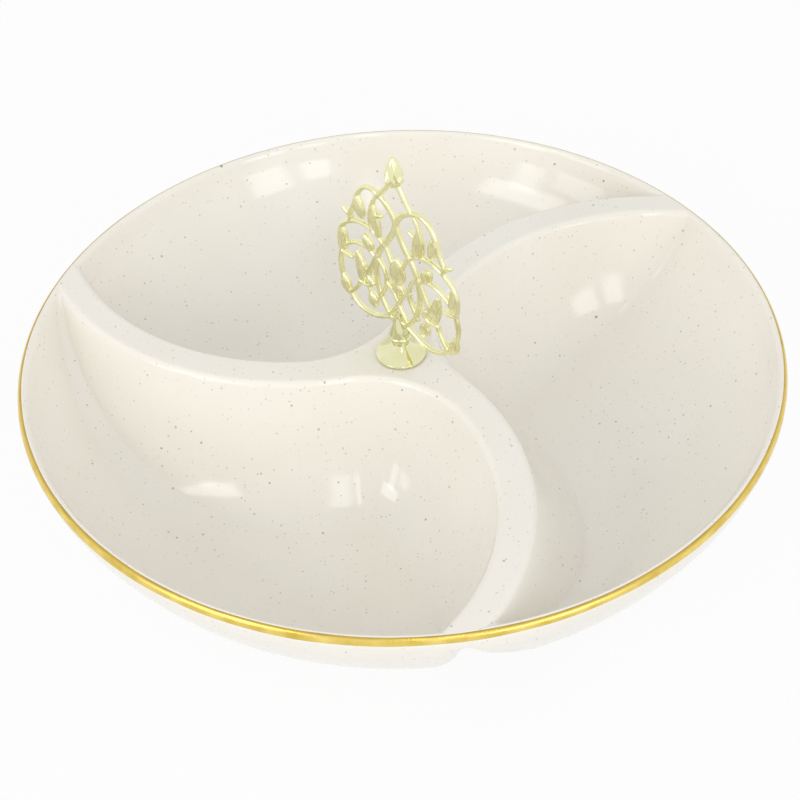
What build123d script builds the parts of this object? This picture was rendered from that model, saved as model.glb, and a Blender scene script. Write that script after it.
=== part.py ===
"""Divided serving bowl: three swirled wells in one glazed shell, with an openwork leaf screwed to its hub."""

import math
import os

from build123d import *

# Bowl, in millimetres
RIM_DIAMETER = 250.0
BOWL_HEIGHT = 46.0
FLOOR_THICKNESS = 4.0
WELL_COUNT = 3
CREST_THICKNESS = 6.0      # the deck is thicker than the wells' walls
RIM_WALL = 2.8             # the lip, at the level of the deck; the wall grows thicker below it
RIM_EDGE_RADIUS = 1.5      # rounding on the outer edge of the lip
RIM_LEDGE = 0.4            # step where the rim ends above a well's outside

# Dividers: each crest follows an arc that starts at the hub
DIVIDER_SHARE = 0.34       # radius of that arc, as a share of the rim's diameter
CREST_WIDTH = 9.0          # flat of the crest, between its rounded edges
CREST_TAPER = 1.6          # one edge's arc is larger by this, so that a crest narrows towards the rim
CREST_ROUND = 2.5
RIM_ROUND = 1.2
ROUND_DEPTH = 2.5
CREST_EDGE = 65            # degrees the rounding has turned where it meets the flat of the crest
SWIRL_ANGLE = -127.6       # direction from the hub to the centre of the first divider's arc
GROOVE_WIDTH = 2.4         # gap between two wells' outsides under a crest, at the level of the deck

# Well walls: a draft and a quarter ellipse that runs out into the floor, as shares of depth and rim
WALL_DRAFT = 0.22
DIVIDER_SWEEP_SHARE = 0.076
RIM_DRAFT = 0.28
OUTSIDE_DRAFT = 0.20
RIM_SWEEP_SHARE = 0.168
HUB_CORNER = 36.0
END_CORNER = 0.4           # at the level of the crest, where a well runs out to the rim
CORNER_GROWTH = 0.36       # the end corners' radius grows by this share of the inset
FLOOR_CORNER = 10.0
CORNER_BLEND = 3.0         # how softly the hub corner's radius settles at its least value

# Gold line on the outside of the lip
GILDING_THICKNESS = 0.3
GILDING_CLEARANCE = 0.15
GILDING_DROP = 3.7         # its lower edge, below the deck
GILDING_TURN = 50.0        # its upper edge, in degrees round the lip's rounding
GILDING_FLATS = 3

# Screw, washer and seals
SCREW_DIAMETER = 4.0
SCREW_HOLE_CLEARANCE = 0.25
SCREW_ENGAGEMENT = 3.8
SCREW_HEAD_DIAMETER = 8.0
SCREW_HEAD_HEIGHT = 2.6
DRIVE_WIDTH = 1.1
DRIVE_LENGTH = 4.6
DRIVE_DEPTH = 1.5
THREAD_CLEARANCE = 0.05
SEAL_DIAMETER = 13.0
SEAL_THICKNESS = 1.0
WASHER_DIAMETER = 11.0
WASHER_THICKNESS = 0.8

# Foot and spire of the finial
FOOT_DIAMETER = 16.4
FOOT_HEIGHT = 5.0
FOOT_EDGE = 0.8
FOOT_LIFT = 0.3            # gap between the foot's edge and the glaze, held open by the seal
FOOT_RECESS_CLEARANCE = 0.4
NECK_DIAMETER = 7.0
NECK_HEIGHT = 0.4
COLLAR_DIAMETER = 9.8
COLLAR_HEIGHT = 1.8
SPIRE_DIAMETER = 8.2
SPIRE_HEIGHT = 9.3
SPIRE_TIP_DIAMETER = 3.2
SPIRE_BULGE = 0.5

# Filigree leaf
LEAF_HEIGHT = 69.8
LEAF_WIDTH = 54.4
LEAF_THICKNESS = 2.0
LEAF_RELIEF = 0.4
RIB_INSET = 0.12           # share of a leaf's length left flat at each end
RIB_SHARE = 0.6            # share of a leaf's width that is raised
LEAF_TURN = -46.0          # the leaf's plane, turned about the screw
TANG_WIDTH = 4.8
SLOT_DEPTH = 7.0
SLOT_CLEARANCE = 0.05
STEM_MAIN = 2.2
STEM_SIDE = 1.8
STEM_FINE = 1.5
BUD_DIAMETER = 7.0
BUD_ROOT_DIAMETER = 4.2
BUD_WIDEST = 3.0           # height of the bud's widest place above its root
BUD_FULLNESS = 0.5         # share of the rise to the tip up to which the bud is drawn full

# The leaf is drawn on a grid of this size, from the end of its tang to the tip of its bud
DRAWN_HEIGHT = 69.8
DRAWN_WIDTH = 54.4
DRAWN_TANG = 9.5

RIM_RADIUS = RIM_DIAMETER / 2
INNER_RIM = RIM_RADIUS - RIM_WALL
WELL_DEPTH = BOWL_HEIGHT - FLOOR_THICKNESS
EDGE_FLARE = 1 - math.cos(math.radians(CREST_EDGE))
SHOULDER = CREST_ROUND * EDGE_FLARE
HALF_CREST = CREST_WIDTH / 2 + SHOULDER
CREST_WALL = HALF_CREST - GROOVE_WIDTH / 2
OUTER_ARC = DIVIDER_SHARE * RIM_DIAMETER
INNER_ARC = OUTER_ARC + CREST_TAPER
DIVIDER_SWEEP = DIVIDER_SWEEP_SHARE * RIM_DIAMETER
RIM_SWEEP = RIM_SWEEP_SHARE * RIM_DIAMETER
DECK = BOWL_HEIGHT
DECK_UNDERSIDE = DECK - CREST_THICKNESS
HOLE_RADIUS = SCREW_DIAMETER / 2 + SCREW_HOLE_CLEARANCE
SEAL_TOP = DECK + SEAL_THICKNESS
FOOT_TOP = DECK + FOOT_LIFT + FOOT_HEIGHT
COLLAR_BOTTOM = FOOT_TOP + NECK_HEIGHT
COLLAR_TOP = COLLAR_BOTTOM + COLLAR_HEIGHT
SPIRE_TOP = COLLAR_TOP + SPIRE_HEIGHT
SLOT_FLOOR = SPIRE_TOP - SLOT_DEPTH
LOWER_SEAL_BOTTOM = DECK_UNDERSIDE - SEAL_THICKNESS
WASHER_BOTTOM = LOWER_SEAL_BOTTOM - WASHER_THICKNESS
SCREW_END = FOOT_TOP + SCREW_ENGAGEMENT


def polar(radius, angle):
    """Point at a radius and an angle in degrees."""
    return Vector(radius * math.cos(math.radians(angle)), radius * math.sin(math.radians(angle)))


def circles_meet(centre_a, radius_a, centre_b, radius_b, near):
    """The crossing of two circles that lies nearer to a given point."""
    step = centre_b - centre_a
    gap = step.length
    along = (radius_a**2 - radius_b**2 + gap**2) / (2 * gap)
    across = math.sqrt(radius_a**2 - along**2)
    foot = centre_a + step * (along / gap)
    side = Vector(-step.Y, step.X) * (across / gap)
    return min((foot + side, foot - side), key=lambda point: (point - near).length)


def on_circle(centre, radius, toward):
    """Point of a circle in the direction of another point."""
    return centre + (toward - centre).normalized() * radius


def arc_about(centre, radius, start, end, height):
    """The shorter arc of a circle between two of its points, at a height."""
    middle = centre + ((start - centre) + (end - centre)).normalized() * radius
    lift = Vector(0, 0, height)
    return ThreePointArc(start + lift, middle + lift, end + lift)


def soft_max(first, second):
    """The larger of two values, with a gradual change from one to the other."""
    return (first + second + math.hypot(first - second, CORNER_BLEND)) / 2


def well_outline(divider_inset, rim_inset, height):
    """Outline of one well at a height: six arcs, each running smoothly into the next."""
    hub = Vector(0, 0)
    inner_centre = polar(INNER_ARC, SWIRL_ANGLE)
    outer_centre = polar(OUTER_ARC, SWIRL_ANGLE - 360 / WELL_COUNT)
    inner = INNER_ARC - HALF_CREST - divider_inset
    outer = OUTER_ARC + HALF_CREST + divider_inset
    rim = INNER_RIM - rim_inset
    hub_corner = soft_max(HUB_CORNER - divider_inset, FLOOR_CORNER)
    end_corner = END_CORNER + CORNER_GROWTH * max(0, divider_inset + SHOULDER)

    hub_middle = circles_meet(inner_centre, inner - hub_corner, outer_centre, outer + hub_corner, hub)
    head_near = polar(rim, SWIRL_ANGLE + 45)
    head_middle = circles_meet(inner_centre, inner - end_corner, hub, rim - end_corner, head_near)
    tail_near = polar(rim, SWIRL_ANGLE - 75)
    tail_middle = circles_meet(outer_centre, outer + end_corner, hub, rim - end_corner, tail_near)

    inner_start = on_circle(inner_centre, inner, hub_middle)
    inner_end = on_circle(inner_centre, inner, head_middle)
    rim_start = on_circle(hub, rim, head_middle)
    rim_end = on_circle(hub, rim, tail_middle)
    outer_start = on_circle(outer_centre, outer, tail_middle)
    outer_end = on_circle(outer_centre, outer, hub_middle)
    return Wire([
        arc_about(inner_centre, inner, inner_start, inner_end, height),
        arc_about(head_middle, end_corner, inner_end, rim_start, height),
        arc_about(hub, rim, rim_start, rim_end, height),
        arc_about(tail_middle, end_corner, rim_end, outer_start, height),
        arc_about(outer_centre, outer, outer_start, outer_end, height),
        arc_about(hub_middle, hub_corner, outer_end, inner_start, height),
    ])


def wall_inset(share, draft, sweep):
    """How far a well's wall has moved in at a share of its depth."""
    return draft * WELL_DEPTH * share + sweep * (1 - math.sqrt(1 - share**2))


def lip_bottom():
    """Radius of the rim where it ends at the underside of the deck, a little outside the wells."""
    return RIM_RADIUS - wall_inset(CREST_THICKNESS / BOWL_HEIGHT, OUTSIDE_DRAFT, RIM_SWEEP) + RIM_LEDGE


def well_cavity():
    """The hollow of one well, from its floor up through its rounded edge at the deck."""
    outlines = []
    for turn in (90, 81, 71, 60, 48, 34, 20, 8):
        share = math.sin(math.radians(turn))
        divider = wall_inset(share, WALL_DRAFT, DIVIDER_SWEEP)
        rim = wall_inset(share, RIM_DRAFT, RIM_SWEEP)
        outlines.append(well_outline(divider, rim, DECK - WELL_DEPTH * share))
    for turn in (20, 44, CREST_EDGE, 85):
        depth = ROUND_DEPTH * (math.sin(math.radians(CREST_EDGE)) - math.sin(math.radians(turn)))
        flare = 1 - math.cos(math.radians(turn))
        share = depth / WELL_DEPTH
        divider = wall_inset(share, WALL_DRAFT, DIVIDER_SWEEP) - CREST_ROUND * flare
        rim = wall_inset(share, RIM_DRAFT, RIM_SWEEP) - RIM_ROUND * flare
        outlines.append(well_outline(divider, rim, DECK - depth))
    return Solid.make_loft(outlines)


def well_body():
    """The outside of one well: the same wall, further out and down by the thickness of lip and floor."""
    outlines = []
    for turn in (90, 81, 71, 60, 48, 34, 20, 3):
        share = math.sin(math.radians(turn))
        divider = wall_inset(share, WALL_DRAFT, DIVIDER_SWEEP) - CREST_WALL
        rim = wall_inset(share, OUTSIDE_DRAFT, RIM_SWEEP) - RIM_WALL
        outlines.append(well_outline(divider, rim, DECK - BOWL_HEIGHT * share))
    return Solid.make_loft(outlines)


def ring(outer_radius, inner_radius, bottom, height):
    """A flat ring about the Z axis, standing on a height."""
    return Pos(0, 0, bottom) * extrude(Circle(outer_radius) - Circle(inner_radius), height)


def turned(*lines):
    """A body of revolution about Z, from a closed outline of radius and height."""
    edges = [edge for line in lines for edge in line.edges()]
    return revolve(Plane.XZ * make_face(edges), Axis.Z)


def make_deck():
    """The flat deck at the rim's level, with the rounded lip."""
    edge_start = (RIM_RADIUS, DECK - RIM_EDGE_RADIUS)
    edge_end = (RIM_RADIUS - RIM_EDGE_RADIUS, DECK)
    flat = Polyline(
        edge_end,
        (0, DECK),
        (0, DECK_UNDERSIDE),
        (lip_bottom(), DECK_UNDERSIDE),
        edge_start,
    )
    return turned(flat, RadiusArc(edge_start, edge_end, -RIM_EDGE_RADIUS))


def make_bowl():
    """The glazed shell: deck, wells pressed down from it, and the screw hole in the hub."""
    bowl = make_deck()
    body = well_body()
    cavity = well_cavity()
    turns = [360 / WELL_COUNT * index for index in range(WELL_COUNT)]
    for angle in turns:
        bowl = bowl + Rot(0, 0, angle) * body
    for angle in turns:
        bowl = bowl - Rot(0, 0, angle) * cavity
    return bowl - Pos(0, 0, DECK) * Cylinder(HOLE_RADIUS, 3 * CREST_THICKNESS)


def make_gilding():
    """The gold line: a thin band on the outside of the lip, up and over part of its rounding in flats."""
    centre = Vector(RIM_RADIUS - RIM_EDGE_RADIUS, DECK - RIM_EDGE_RADIUS)
    fall = (GILDING_DROP - RIM_EDGE_RADIUS) / (CREST_THICKNESS - RIM_EDGE_RADIUS)
    low_radius = RIM_RADIUS - (RIM_RADIUS - lip_bottom()) * fall
    sides = []
    for lift in (GILDING_CLEARANCE, GILDING_CLEARANCE + GILDING_THICKNESS):
        points = [Vector(low_radius + lift, DECK - GILDING_DROP)]
        for flat in range(GILDING_FLATS + 1):
            points.append(centre + polar(RIM_EDGE_RADIUS + lift, GILDING_TURN * flat / GILDING_FLATS))
        sides.append(points)
    under, over = sides
    return turned(Polyline(*under, *reversed(over), close=True))


def make_foot():
    """The flared foot, hollowed underneath to take the upper seal."""
    edge_bottom = DECK + FOOT_LIFT
    foot_radius = FOOT_DIAMETER / 2
    recess = SEAL_DIAMETER / 2 + FOOT_RECESS_CLEARANCE
    shoulder = (foot_radius, edge_bottom + FOOT_EDGE)
    neck = (NECK_DIAMETER / 2, FOOT_TOP)
    base = Polyline(
        neck,
        (HOLE_RADIUS, FOOT_TOP),
        (HOLE_RADIUS, SEAL_TOP),
        (recess, SEAL_TOP),
        (recess, edge_bottom),
        (foot_radius, edge_bottom),
        shoulder,
    )
    flare = SagittaArc(shoulder, neck, FOOT_EDGE / 2)
    return turned(base, flare)


def make_spire():
    """Collar and spire in one turning, bored for the screw and slotted for the leaf's tang."""
    bore = SCREW_DIAMETER / 2 + THREAD_CLEARANCE
    bore_top = SCREW_END + THREAD_CLEARANCE
    neck = NECK_DIAMETER / 2
    spire = SPIRE_DIAMETER / 2
    tip = SPIRE_TIP_DIAMETER / 2
    bead_root = COLLAR_DIAMETER / 2 - COLLAR_HEIGHT / 2
    tip_start = (tip, SPIRE_TOP - tip)
    apex = (0, SPIRE_TOP)
    lower = Polyline(
        (0, SPIRE_TOP),
        (0, bore_top),
        (bore, bore_top),
        (bore, FOOT_TOP),
        (neck, FOOT_TOP),
        (neck, COLLAR_BOTTOM),
        (bead_root, COLLAR_BOTTOM),
    )
    bead = ThreePointArc(
        (bead_root, COLLAR_BOTTOM),
        (COLLAR_DIAMETER / 2, COLLAR_BOTTOM + COLLAR_HEIGHT / 2),
        (bead_root, COLLAR_TOP),
    )
    step = Line((bead_root, COLLAR_TOP), (spire, COLLAR_TOP))
    side = SagittaArc((spire, COLLAR_TOP), tip_start, -SPIRE_BULGE)
    point = RadiusArc(tip_start, apex, -tip)
    body = turned(lower, bead, step, side, point)
    slot_width = LEAF_THICKNESS + 2 * SLOT_CLEARANCE
    slot = Pos(0, 0, SLOT_FLOOR) * Box(
        2 * COLLAR_DIAMETER, slot_width, 2 * SLOT_DEPTH, align=(Align.CENTER, Align.CENTER, Align.MIN)
    )
    return Rot(0, 0, LEAF_TURN) * (body - slot)


def make_screw():
    """Pan-head screw, put in from below, with a cross recess."""
    head = SCREW_HEAD_DIAMETER / 2
    shank = SCREW_DIAMETER / 2
    head_bottom = WASHER_BOTTOM - SCREW_HEAD_HEIGHT
    dome = SCREW_HEAD_HEIGHT / 2
    outline = Polyline(
        (0, head_bottom),
        (0, SCREW_END),
        (shank, SCREW_END),
        (shank, WASHER_BOTTOM),
        (head, WASHER_BOTTOM),
        (head, head_bottom + dome),
    )
    crown = SagittaArc((head, head_bottom + dome), (0, head_bottom), -dome / 2)
    screw = turned(outline, crown)
    for angle in (0, 90):
        drive = Box(DRIVE_LENGTH, DRIVE_WIDTH, 2 * DRIVE_DEPTH)
        screw = screw - Pos(0, 0, head_bottom) * Rot(0, 0, angle) * drive
    return screw


# The right half of the leaf, drawn on the grid; each stem runs through its points as arcs.
# A stem is a name, its kind and its points: across from the middle line, and up.
HALF_STEMS = {
    "neck": ("side", (1.5, 69.6), (3.8, 65.6), (7.2, 61)),
    "crossing": ("main", (-7.2, 61), (-3, 58.2), (0, 53), (4.6, 43.6), (9.4, 35), (12.6, 28.4), (12.8, 23.4)),
    "inner_strand": ("side", (8.4, 36.4), (9.6, 29), (8.2, 21.4), (2, 12.6)),
    "upper_lobe": ("side", (7.2, 61), (10.6, 61.9), (14.6, 60), (17.8, 54), (20.7, 46.8)),
    "upper_curl": ("side", (20.7, 46.8), (22, 47.2), (23.2, 48)),
    "upper_stalk": ("fine", (8, 60.4), (10.4, 55.6), (11.5, 50), (10.4, 45.6)),
    "upper_nub": ("fine", (8.4, 52.4), (7.4, 52.8), (6.2, 53.4)),
    "upper_floor": ("fine", (6, 42.6), (13, 45.9), (20.6, 43.8)),
    "middle_link": ("side", (20.7, 46.8), (20.3, 45.4), (20.8, 43.8)),
    "middle_lobe": ("side", (20.8, 43.8), (24, 40.9), (25.9, 36), (25.2, 29.8)),
    "middle_curl": ("fine", (9.6, 35.4), (13.2, 37), (20.2, 35.4), (23.2, 33)),
    "middle_nub": ("fine", (25.2, 29.8), (22.8, 29.3), (20.6, 29.4)),
    "lower_lobe": ("side", (25.2, 29.8), (26.1, 25.4), (25, 18.6), (22, 14)),
    "lower_edge": ("side", (22, 14), (18.4, 10.9), (12.6, 9.9), (7.2, 11.7), (2, 14)),
    "tulip_stalk": ("fine", (22, 14.2), (19.4, 16.8), (17.2, 21.4)),
    "tulip_base": ("fine", (10.8, 23.6), (13.6, 21.4), (17.2, 21.4)),
    "pendant": ("fine", (13.6, 21.4), (12.8, 20), (12.3, 18)),
    "inner_ring": ("fine", (8.6, 35.4), (5, 29.2), (6.2, 23.4), (8.4, 19)),
    "palmette_arm": ("fine", (5, 42.6), (3.2, 38.6), (1.6, 35.6)),
    "calyx": ("fine", (5.2, 28), (2.4, 25.4), (0, 20.6)),
    "root": ("fine", (0, 21), (2, 17.8), (4.2, 14.6)),
}

# Solid leaves and buds of the right half: from, to, width, and how far the middle leans sideways.
HALF_LEAVES = {
    "inner_leaf": ((9.8, 56.6), (7.2, 43.6), 3.6, 0.8),
    "upper_leaf": ((17, 57), (14.6, 47.6), 4.6, 0.6),
    "middle_leaf": ((24.2, 40.6), (23.6, 30.2), 4.0, 0.6),
    "middle_bud": ((11.4, 36), (14.4, 42.4), 4.2, 0.0),
    "tulip_outer": ((16.8, 21.6), (18, 33.8), 3.6, 0.6),
    "tulip_inner": ((15.4, 21.8), (15, 30), 3.0, -0.4),
    "tulip_cup": ((11.2, 22.4), (13.8, 26), 2.6, 0.0),
    "pendant_leaf": ((12.2, 19.6), (10.8, 13.4), 4.2, 0.0),
    "corner_leaf": ((25, 20.4), (22.6, 12.8), 4.0, 0.4),
}

# Pieces on the middle line: lower end, upper end and width.
MIDDLE_LEAVES = {
    "palmette": (28.4, 39.6, 6.8),
    "palmette_base": (24.6, 30.4, 5.0),
}
BUD_BASE = 68.6
STEM_WIDTHS = {"main": STEM_MAIN, "side": STEM_SIDE, "fine": STEM_FINE}


def on_leaf(point):
    """A point of the drawing, at the leaf's own size and measured from the end of its tang."""
    across, up = point
    return Vector(across * LEAF_WIDTH / DRAWN_WIDTH, (up - DRAWN_TANG) * LEAF_HEIGHT / DRAWN_HEIGHT)


def stem_arcs(points):
    """Arcs through the points of a stem, each running on from the one before it."""
    arcs = [ThreePointArc(*points[:3])]
    for point in points[3:]:
        arcs.append(TangentArc(arcs[-1] @ 1, point, tangent=arcs[-1] % 1))
    return arcs


def stem_face(points, width):
    """A stem of even width with round ends."""
    half = width / 2
    left_side = []
    right_side = []
    arcs = stem_arcs(points)
    for arc in arcs:
        left = []
        right = []
        for share in (0, 0.5, 1):
            along = arc % share
            aside = Vector(-along.Y, along.X) * half
            left.append(arc @ share + aside)
            right.append(arc @ share - aside)
        left_side.append(ThreePointArc(*left))
        right_side.append(ThreePointArc(*right))
    start_tip = arcs[0] @ 0 - (arcs[0] % 0) * half
    end_tip = arcs[-1] @ 1 + (arcs[-1] % 1) * half
    start_cap = ThreePointArc(right_side[0] @ 0, start_tip, left_side[0] @ 0)
    end_cap = ThreePointArc(left_side[-1] @ 1, end_tip, right_side[-1] @ 1)
    return make_face([*left_side, end_cap, *reversed(right_side), start_cap])


def leaf_face(start, end, width, lean):
    """A pointed leaf between two points, with arcs for its two edges."""
    middle = (start + end) * 0.5
    along = (end - start).normalized()
    aside = Vector(-along.Y, along.X)
    near = middle + aside * (lean + width / 2)
    far = middle + aside * (lean - width / 2)
    return make_face([ThreePointArc(start, near, end), ThreePointArc(end, far, start)])


def leaf_rib(start, end, width, lean):
    """The raised middle of a leaf: the same shape, kept in from its edge."""
    along = (end - start) * RIB_INSET
    return leaf_face(start + along, end - along, width * RIB_SHARE, lean)


def make_bud(base):
    """The bud on the tip: round below and pointed above, turned about the leaf's middle line."""
    radius = BUD_DIAMETER / 2
    rise = LEAF_HEIGHT - base - BUD_WIDEST
    root = (BUD_ROOT_DIAMETER / 2, base)
    widest = (radius, base + BUD_WIDEST)
    tip = (0, LEAF_HEIGHT)
    lower = Bezier(root, (radius, base + BUD_WIDEST * 0.3), widest)
    shoulder = (radius, base + BUD_WIDEST + rise * BUD_FULLNESS)
    upper = Bezier(widest, shoulder, (radius * 0.3, LEAF_HEIGHT - rise * 0.2), tip)
    axis = Polyline(tip, (0, base), root)
    return revolve(make_face([*lower.edges(), *upper.edges(), *axis.edges()]), Axis.Y)


def make_leaf():
    """The openwork leaf: stems, and leaves that stand a little proud of them, with a bud on top."""
    stems = []
    for kind, *points in HALF_STEMS.values():
        stems.append(stem_face([on_leaf(point) for point in points], STEM_WIDTHS[kind]))
    leaves = []
    ribs = []
    for start, end, width, lean in HALF_LEAVES.values():
        leaves.append(leaf_face(on_leaf(start), on_leaf(end), width, lean))
        ribs.append(leaf_rib(on_leaf(start), on_leaf(end), width, lean))
    outline = stems + leaves
    outline += [mirror(face, Plane.YZ) for face in outline]
    ribs += [mirror(face, Plane.YZ) for face in ribs]
    for low, high, width in MIDDLE_LEAVES.values():
        outline.append(leaf_face(on_leaf((0, low)), on_leaf((0, high)), width, 0))
        ribs.append(leaf_rib(on_leaf((0, low)), on_leaf((0, high)), width, 0))
    tang_height = SLOT_DEPTH - SLOT_CLEARANCE
    outline.append(Pos(0, tang_height / 2) * Rectangle(TANG_WIDTH, tang_height))

    openwork = extrude(Sketch() + outline, LEAF_THICKNESS / 2, both=True)
    raised = extrude(Sketch() + ribs, LEAF_THICKNESS / 2 + LEAF_RELIEF, both=True)
    bud = make_bud(on_leaf((0, BUD_BASE)).Y)
    flat = openwork + raised + bud
    upright = Plane.XZ * flat
    return Rot(0, 0, LEAF_TURN) * Pos(0, 0, SLOT_FLOOR + SLOT_CLEARANCE) * upright


def make_parts():
    """Every solid of the assembly, under the name of its node."""
    seal_radius = SEAL_DIAMETER / 2
    return {
        "bowl": make_bowl(),
        "rim_gilding": make_gilding(),
        "upper_seal": ring(seal_radius, HOLE_RADIUS, DECK, SEAL_THICKNESS),
        "lower_seal": ring(seal_radius, HOLE_RADIUS, LOWER_SEAL_BOTTOM, SEAL_THICKNESS),
        "steel_washer": ring(WASHER_DIAMETER / 2, HOLE_RADIUS, WASHER_BOTTOM, WASHER_THICKNESS),
        "fixing_screw": make_screw(),
        "finial_foot": make_foot(),
        "finial_spire": make_spire(),
        "finial_leaf": make_leaf(),
    }


os.makedirs("parts", exist_ok=True)
for node, shape in make_parts().items():
    export_step(shape, f"parts/{node}.step")
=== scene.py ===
"""Looks for the divided serving bowl: glaze, gold line, polished foot and spire, and cast openwork leaf."""

import cmath
import math

import bpy
import bmesh
from mathutils import Matrix, Vector
from mathutils.geometry import tessellate_polygon


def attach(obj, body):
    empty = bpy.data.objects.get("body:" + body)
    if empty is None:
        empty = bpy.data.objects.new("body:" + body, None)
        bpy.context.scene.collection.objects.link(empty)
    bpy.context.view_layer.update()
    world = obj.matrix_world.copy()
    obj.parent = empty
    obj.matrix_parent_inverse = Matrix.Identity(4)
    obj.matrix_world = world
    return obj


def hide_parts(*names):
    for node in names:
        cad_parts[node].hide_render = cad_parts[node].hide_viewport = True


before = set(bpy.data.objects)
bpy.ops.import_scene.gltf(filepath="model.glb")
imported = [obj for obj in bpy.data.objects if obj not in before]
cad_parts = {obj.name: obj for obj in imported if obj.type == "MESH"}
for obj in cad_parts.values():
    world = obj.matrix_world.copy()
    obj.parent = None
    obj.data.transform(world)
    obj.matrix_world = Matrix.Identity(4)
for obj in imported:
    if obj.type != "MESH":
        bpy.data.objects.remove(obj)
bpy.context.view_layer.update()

MM = 0.001
CORNERS = ((-1, -1), (1, -1), (1, 1), (-1, 1))

# Bowl, in millimetres, as in the part
RIM_RADIUS = 125.0
BOWL_HEIGHT = 46.0
FLOOR_THICKNESS = 4.0
WELL_COUNT = 3
CREST_THICKNESS = 6.0
RIM_WALL = 2.8
OUTER_ARC = 85.0
INNER_ARC = 86.6
CREST_WIDTH = 9.0
CREST_ROUND = 2.5
RIM_ROUND = 1.2
ROUND_DEPTH = 2.5
CREST_EDGE = 65
SWIRL_ANGLE = -127.6
GROOVE_WIDTH = 2.4
WALL_DRAFT = 0.22
DIVIDER_SWEEP = 19.0
RIM_DRAFT = 0.28
OUTSIDE_DRAFT = 0.20
RIM_SWEEP = 42.0
HUB_CORNER = 36.0
END_CORNER = 0.4
CORNER_GROWTH = 0.36
FLOOR_CORNER = 10.0
CORNER_BLEND = 3.0
HOLE_RADIUS = 2.25

EDGE_FLARE = 1 - math.cos(math.radians(CREST_EDGE))
EDGE_DROP = math.sin(math.radians(CREST_EDGE))
SHOULDER = CREST_ROUND * EDGE_FLARE
HALF_CREST = CREST_WIDTH / 2 + SHOULDER
CREST_WALL = HALF_CREST - GROOVE_WIDTH / 2

INNER_RIM = RIM_RADIUS - RIM_WALL
WELL_DEPTH = BOWL_HEIGHT - FLOOR_THICKNESS
DECK = BOWL_HEIGHT
DECK_UNDERSIDE = DECK - CREST_THICKNESS

# Small forms of the bowl that only the looks need
GROOVE_FILLET = 1.2
RIM_SWELL = 0.65
RIM_SWELL_END = 22.0
OUTSIDE_HEAD = 7.0

# The lip's outside is part of an ellipse, drawn at these degrees of it. Below it, a straight run
# goes down to the deck's underside, drawn at these shares of the way
LIP_WIDTH = 1.85
LIP_HEIGHT = 2.8
LIP_TURNS = (-24, -12, 0, 10, 20, 30, 40, 50, 60, 68, 76, 83, 90)
LIP_RUN = (0.65, 0.3)

# Softened edge of the crests: drop, and how far it lies behind the rounding; less of that on the rim
CREST_EDGE_STEPS = ((0.0, -0.5), (0.02, -0.28), (0.08, -0.08))
RIM_EDGE_SHARE = 0.4

# Degrees at which the rounding of a crest, a well's wall, a groove and the outside are drawn
CREST_TURNS = (61, 57, 53, 48, 42, 35, 28, 20, 11)
WALL_TURNS = (8, 11, 15, 20, 26, 32, 38, 44, 50, 56, 62, 68, 73, 78, 82, 86, 90)
GROOVE_TURNS = (90, 72, 54, 36, 18)
OUTSIDE_TURNS = (10.5, 14, 19, 25, 31, 37, 43, 49, 55, 61, 67, 73, 78, 82, 86, 90)

# Edges that meet at more than these degrees are shaded as sharp
BOWL_SHARP = 50
FOOT_SHARP = 40
SPIRE_SHARP = 35

# How many points each arc of a well's outline gets
INNER_POINTS = 48
HEAD_POINTS = 18
RIM_POINTS = 72
TAIL_POINTS = 16
OUTER_POINTS = 60
HUB_POINTS = 30
GAP_POINTS = 16
HOLE_POINTS = 32
LINE_POINTS = 720
RIM_FIRST = INNER_POINTS + HEAD_POINTS
RIM_LAST = RIM_FIRST + RIM_POINTS

# Gold line on the lip: its edges in degrees of the lip's ellipse
GOLD_LOW = 12
GOLD_HIGH = 76

# Heights between which the line darkens towards its upper edge, and how far it does
GOLD_DARK_FROM = 45.6
GOLD_DARK_TO = 46.4
GOLD_DARK_SHARE = 0.75

# How each edge wavers: size in degrees, waves round the rim, and where they start
GOLD_LOW_WAVES = ((10, 1, 0.6), (2, 3, 0), (1, 11, 0), (1, 29, 2))
GOLD_HIGH_WAVES = ((-3, 1, 0.9), (1, 13, 1), (0.7, 31, 0))

# Section of the line: share of its width, and lift off the glaze
GOLD_BODY = (
    (0, -0.03), (0.04, 0.05), (0.2, 0.07), (0.4, 0.08),
    (0.6, 0.08), (0.8, 0.07), (0.96, 0.05), (1, -0.03),
)

# Foot and spire of the finial
TURNED_POINTS = 128
FOOT_RADIUS = 8.2
FOOT_BOTTOM = 46.3
FOOT_TOP = 51.3
FOOT_EDGE = 0.8
FOOT_HOLLOW = 0.35
FOOT_BORE = 2.3
FOOT_GAP = 0.02
FLARE_INSET = 0.15
FLARE_RUN = 1.5
FLARE_RISE = 1.0
BRIM_LOW_ROUND = 0.2
BRIM_HIGH_ROUND = 0.25
SEAL_TOP = 47.0
SEAL_RECESS = 6.9
RECESS_BEVEL = 0.2
RECESS_ROUND = 0.12
NECK_RADIUS = 2.6
NECK_FILLET = 0.2
NECK_WAIST = 0.3
WAIST_DROP = 0.6
COLLAR_BOTTOM = 53.3
COLLAR_TOP = 54.9
COLLAR_RADIUS = 3.9
SPIRE_RADIUS = 3.5
SPIRE_TIP = 1.1
SPIRE_TOP = 62.8
SPIRE_BULGE = 0.09
BORE_RADIUS = 2.05
SCREW_END = 55.15
SLOT_FLOOR = 55.8
SLOT_WIDTH = 2.1

# Openwork leaf, drawn on its own grid
LEAF_TURN = -46.0
LEAF_THICKNESS = 2.0
DRAWN_TANG = 9.5
LEAF_BASE = SLOT_FLOOR + 0.05
LEAF_TIP = 79.3
TANG_WIDTH = 6.0
TANG_HEAD = 1.8
TANG_HEIGHT = 7.95
LEAF_VOXEL = 0.12
LEAF_FACES_KEPT = 0.22

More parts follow.
